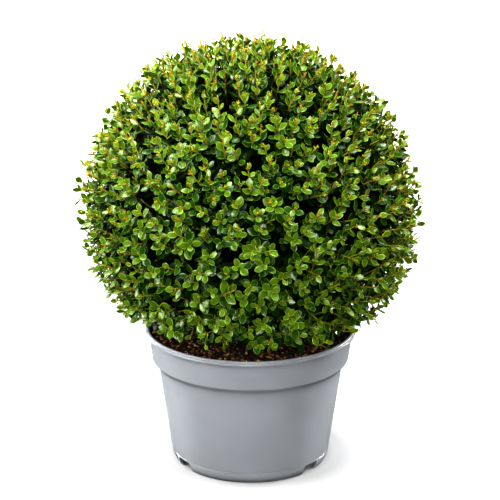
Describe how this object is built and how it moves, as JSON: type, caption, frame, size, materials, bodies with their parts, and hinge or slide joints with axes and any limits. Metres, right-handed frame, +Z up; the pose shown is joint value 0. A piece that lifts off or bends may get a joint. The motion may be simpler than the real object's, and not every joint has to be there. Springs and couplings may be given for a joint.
{
  "type": "potted clipped holly ball",
  "caption": "Small-leaved evergreen shrub clipped to a dense green ball on a short stem, standing in a tapered grey plastic nursery pot filled with dark compost.",
  "frame": {"origin": "on the floor, under the middle of the pot", "axes": "+Z up along the pot's axis, -Y towards the front seen in the picture, +X to the right"},
  "size_m": [0.4201, 0.4206, 0.5366],
  "materials": {
    "pot": "mid-grey moulded plastic, fine matte grain",
    "compost": "dark crumbly compost with bark chips",
    "bark": "thin grey-brown bark",
    "foliage": "glossy small oval leaves"
  },
  "bodies": {
    "root": {"pot": "pot", "compost": "compost", "trunk": "bark", "bough_top": "bark", "bough_upper_1": "bark", "bough_upper_2": "bark", "bough_upper_3": "bark", "bough_upper_4": "bark", "bough_upper_5": "bark", "bough_lower_1": "bark", "bough_lower_2": "bark", "bough_lower_3": "bark", "bough_lower_4": "bark", "bough_lower_5": "bark", "foliage_top": "foliage", "foliage_upper_1": "foliage", "foliage_upper_2": "foliage", "foliage_upper_3": "foliage", "foliage_upper_4": "foliage", "foliage_upper_5": "foliage", "foliage_lower_1": "foliage", "foliage_lower_2": "foliage", "foliage_lower_3": "foliage", "foliage_lower_4": "foliage", "foliage_lower_5": "foliage"}
  },
  "joints": []
}
